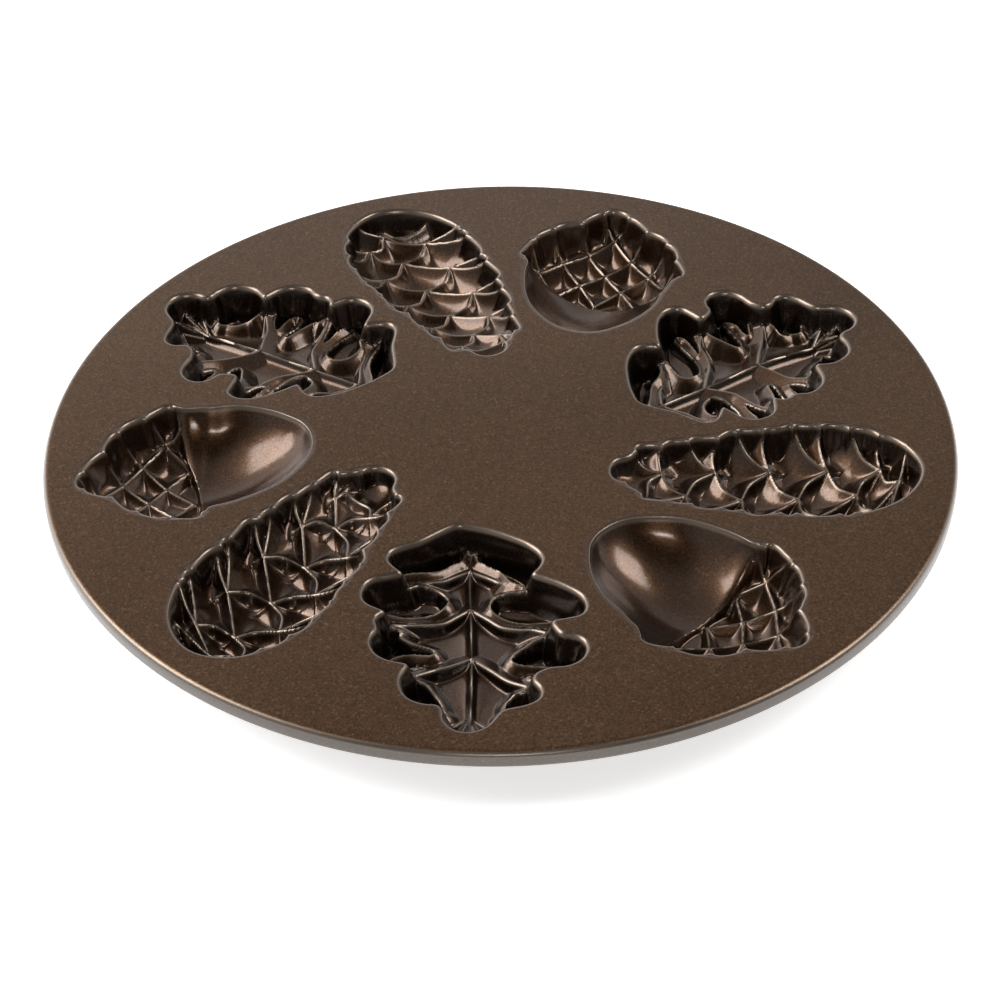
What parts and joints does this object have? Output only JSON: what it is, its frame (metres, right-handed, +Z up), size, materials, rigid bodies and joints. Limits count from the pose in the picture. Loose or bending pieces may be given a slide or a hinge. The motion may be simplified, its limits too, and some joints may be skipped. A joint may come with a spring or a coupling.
{
  "type": "cakelet pan",
  "caption": "Round cast baking pan whose flat deck carries leaf, acorn and pine cone shaped cups, which give small cakes their shape.",
  "frame": {"origin": "centre of the round pan, on the surface that the pan stands on, which is the level of the undersides of the acorn cups", "axes": "+Z up, out of the open mouths of the cups; -Y towards the leaf cup that is nearest the viewer in the picture; +X to the viewer's right"},
  "size_m": [0.33, 0.33, 0.025],
  "materials": {
    "deck": "satin speckled bronze non-stick coating",
    "cups": "satin speckled bronze non-stick coating"
  },
  "bodies": {
    "root": {"deck_plate": "deck", "rim_band": "deck", "leaf_cup_front": "cups", "leaf_cup_right": "cups", "leaf_cup_left": "cups", "acorn_cup_front": "cups", "acorn_cup_back": "cups", "acorn_cup_left": "cups", "cone_cup_right": "cups", "cone_cup_back": "cups", "cone_cup_front": "cups"}
  },
  "joints": []
}
